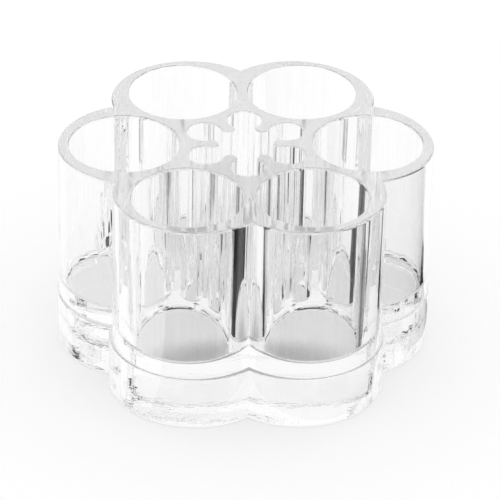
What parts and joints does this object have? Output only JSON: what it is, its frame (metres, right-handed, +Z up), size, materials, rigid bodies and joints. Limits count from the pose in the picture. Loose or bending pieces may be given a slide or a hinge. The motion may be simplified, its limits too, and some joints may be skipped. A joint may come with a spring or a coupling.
{
  "type": "lipstick holder",
  "caption": "Clear flower-shaped lipstick holder: a ring of round cups about a petalled centre well, bonded onto a thick clear base.",
  "frame": {"origin": "centre of the flat underside, on the axis of the flower", "axes": "+Z up along the flower's axis; +X through the middle of the first cup; the ring of cups runs anticlockwise from +X"},
  "size_m": [0.1008, 0.0934, 0.0598],
  "materials": {
    "clear_acrylic": "colourless clear moulded acrylic, polished"
  },
  "bodies": {
    "root": {"cup_body": "clear_acrylic", "base_block": "clear_acrylic"}
  },
  "joints": []
}
